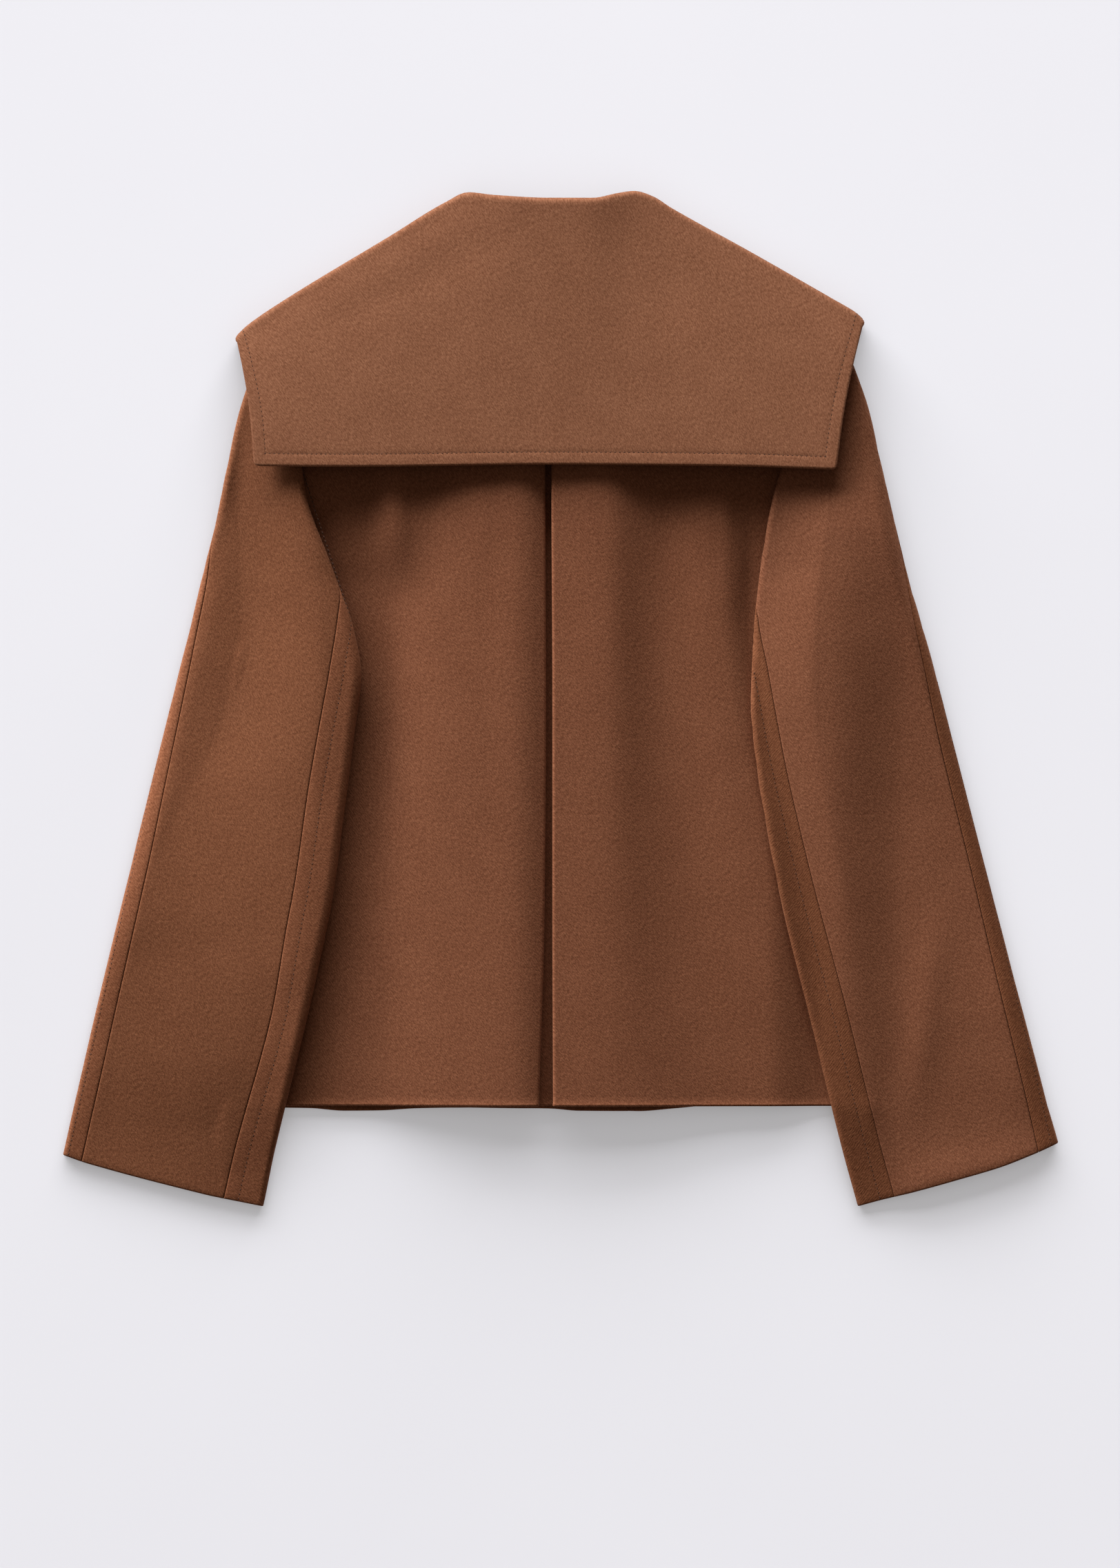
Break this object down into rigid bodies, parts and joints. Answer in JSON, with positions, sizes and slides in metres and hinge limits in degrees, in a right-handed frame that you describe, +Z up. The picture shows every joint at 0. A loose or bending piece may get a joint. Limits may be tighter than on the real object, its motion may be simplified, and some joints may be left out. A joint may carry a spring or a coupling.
{
  "type": "double-breasted wool jacket laid flat",
  "caption": "Short double-breasted wool jacket laid face down, with a wide cape collar, an inverted centre-back pleat and two-piece sleeves.",
  "frame": {"origin": "on the surface it lies on, under the middle of the jacket's outline", "axes": "+Y towards the neck along the back, +X towards the wearer's right sleeve, +Z up out of the back"},
  "size_m": [0.685, 0.698, 0.0254],
  "materials": {
    "wool": "matte twill with a light nap",
    "button": "satin horn-like plastic"
  },
  "bodies": {
    "root": {"back": "wool", "front_right": "wool", "front_left": "wool", "collar": "wool", "collar_leaf_left": "wool", "collar_leaf_right": "wool", "sleeve_back_left": "wool", "sleeve_front_left": "wool", "sleeve_back_right": "wool", "sleeve_front_right": "wool", "button_left_1": "button", "button_left_2": "button", "button_left_3": "button", "button_right_1": "button", "button_right_2": "button", "button_right_3": "button"}
  },
  "joints": []
}
